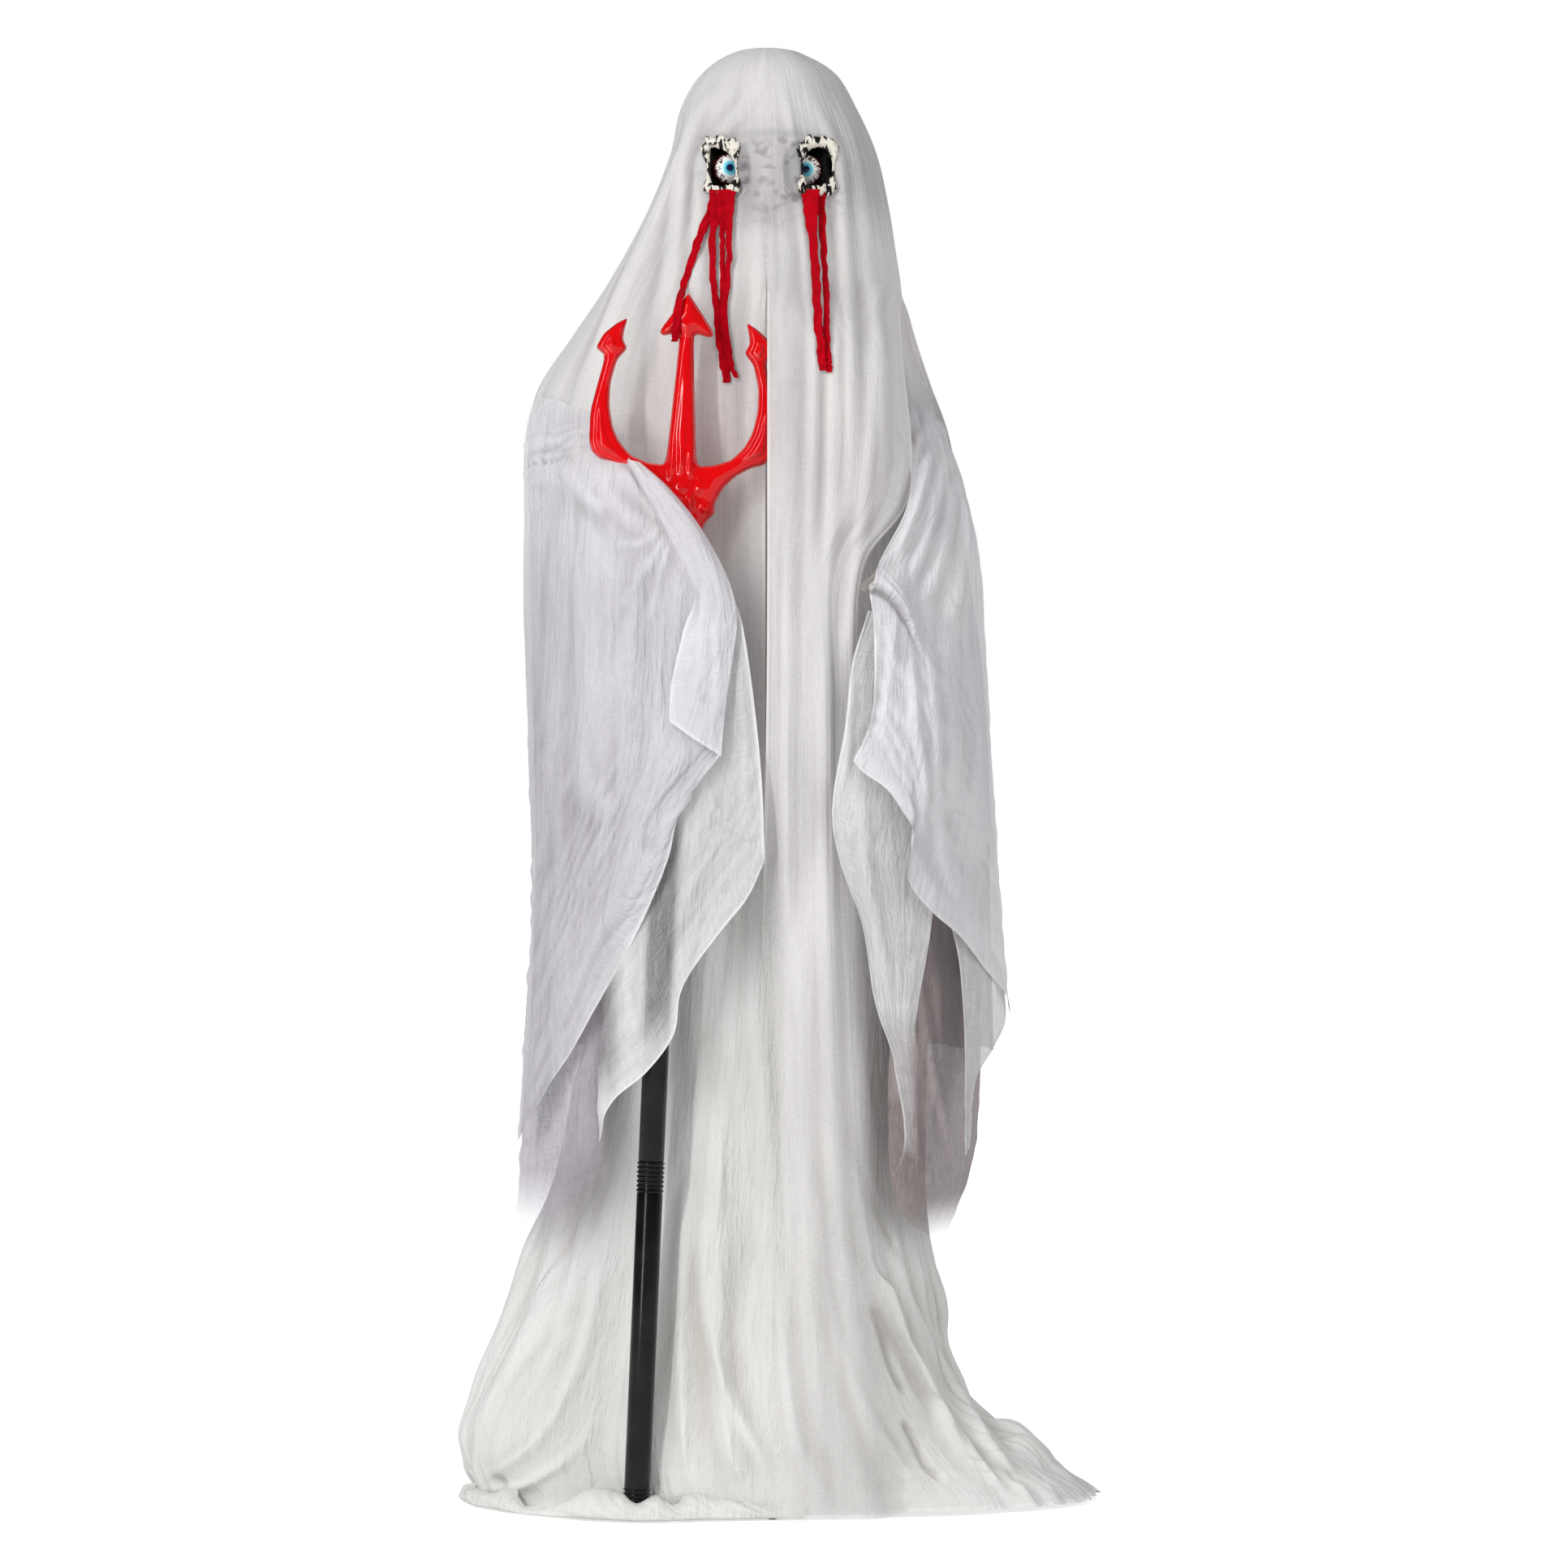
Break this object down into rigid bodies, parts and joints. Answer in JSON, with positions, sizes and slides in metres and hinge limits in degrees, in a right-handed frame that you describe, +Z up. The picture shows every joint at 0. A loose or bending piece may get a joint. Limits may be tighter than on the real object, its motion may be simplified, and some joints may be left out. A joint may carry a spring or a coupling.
{
  "type": "animated ghost figure",
  "caption": "Life-size standing ghost on a sectional mast, with a motor-turned veiled head, gauze gown, bell sleeves and a red trident in its right hand.",
  "frame": {"origin": "on the floor, at the middle of the flat underside of the base hub, on the mast axis", "axes": "+Z up the mast, the figure faces -Y, its right hand and trident are on the -X side"},
  "size_m": [0.8279, 0.5897, 1.8283],
  "materials": {
    "black_plastic": "moulded, satin",
    "grey_plastic": "moulded, matte",
    "white_plastic": "moulded, matte",
    "red_plastic": "moulded, high gloss",
    "eye_plastic": "gloss, printed iris",
    "steel": "zinc plated",
    "black_steel": "black powder coat",
    "brass": "machined",
    "rubber": "moulded",
    "white_gauze": "sheer creased gauze",
    "grey_gauze": "sheer crinkled gauze",
    "red_cloth": "torn, frayed"
  },
  "bodies": {
    "frame": {"base_hub": "black_plastic", "base_leg_front": "black_steel", "foot_cap_front": "rubber", "base_leg_left": "black_steel", "foot_cap_left": "rubber", "base_leg_back": "black_steel", "foot_cap_back": "rubber", "base_leg_right": "black_steel", "foot_cap_right": "rubber", "mast_lower": "black_steel", "mast_middle": "black_steel", "mast_upper": "black_steel", "chest_housing_front": "black_plastic", "chest_housing_back": "black_plastic", "speaker": "grey_plastic", "gear_plate": "steel", "gearmotor": "grey_plastic", "neck_bush": "white_plastic", "shoulder_bar": "black_steel", "shoulder_socket_right": "black_plastic", "arm_tube_right": "black_steel", "hand_right": "white_plastic", "shoulder_socket_left": "black_plastic", "arm_tube_left": "black_steel", "hand_left": "white_plastic", "control_box": "black_plastic", "battery_holder": "grey_plastic", "trident_head": "red_plastic", "pole_lower": "black_plastic", "pole_middle": "black_plastic", "pole_upper": "black_plastic", "gown_front_right": "white_gauze", "gown_front_left": "white_gauze", "gown_back_left": "white_gauze", "gown_back_right": "white_gauze", "sleeve_right_near": "grey_gauze", "sleeve_right_far": "grey_gauze", "sleeve_left_near": "grey_gauze", "sleeve_left_far": "grey_gauze", "veil_front": "white_gauze", "veil_wing_right": "white_gauze", "veil_back": "white_gauze"},
    "head": {"neck_shaft": "steel", "neck_gear": "white_plastic", "head_mount": "grey_plastic", "head_shell_front": "white_plastic", "head_shell_back": "white_plastic", "eye_cup_right": "black_plastic", "eye_cup_left": "black_plastic", "eyeball_right": "eye_plastic", "eyeball_left": "eye_plastic", "veil_hood": "white_gauze", "strip_right": "red_cloth", "strip_left": "red_cloth"},
    "pinion": {"motor_pinion": "brass"},
    "snap_button_lower": {"snap_button_lower": "steel"},
    "snap_button_upper": {"snap_button_upper": "steel"},
    "mode_switch": {"mode_switch": "white_plastic"},
    "try_button": {"try_button": "red_plastic"},
    "battery_cover": {"battery_cover": "black_plastic"}
  },
  "joints": [
    {"name": "head_turn", "type": "hinge", "parent": "frame", "child": "head", "pos_m": [0, 0, 1.403], "axis": [0, 0, 1], "range_deg": [-30, 30], "deforming": ["strip_right", "strip_left"]},
    {"name": "pinion_spin", "type": "hinge", "parent": "frame", "child": "pinion", "pos_m": [0.0325, 0, 1.371], "axis": [0, 0, 1], "range_deg": [-90, 90]},
    {"name": "snap_press_lower", "type": "slide", "parent": "frame", "child": "snap_button_lower", "axis": [-1, 0, 0], "range_m": [0, 0.003], "stiffness_N_per_m": 1500, "springref_m": -0.001},
    {"name": "snap_press_upper", "type": "slide", "parent": "frame", "child": "snap_button_upper", "axis": [-1, 0, 0], "range_m": [0, 0.003], "stiffness_N_per_m": 1500, "springref_m": -0.001},
    {"name": "mode_switch_slide", "type": "slide", "parent": "frame", "child": "mode_switch", "axis": [1, 0, 0], "range_m": [0, 0.005]},
    {"name": "try_button_press", "type": "slide", "parent": "frame", "child": "try_button", "axis": [0, 0, -1], "range_m": [0, 0.0024], "stiffness_N_per_m": 400, "springref_m": -0.0005},
    {"name": "battery_cover_slide", "type": "slide", "parent": "frame", "child": "battery_cover", "axis": [0, 0, 1], "range_m": [0, 0.1]}
  ],
  "couplings": [
    {"joint": "pinion_spin", "follows": "head_turn", "ratio": -3}
  ]
}
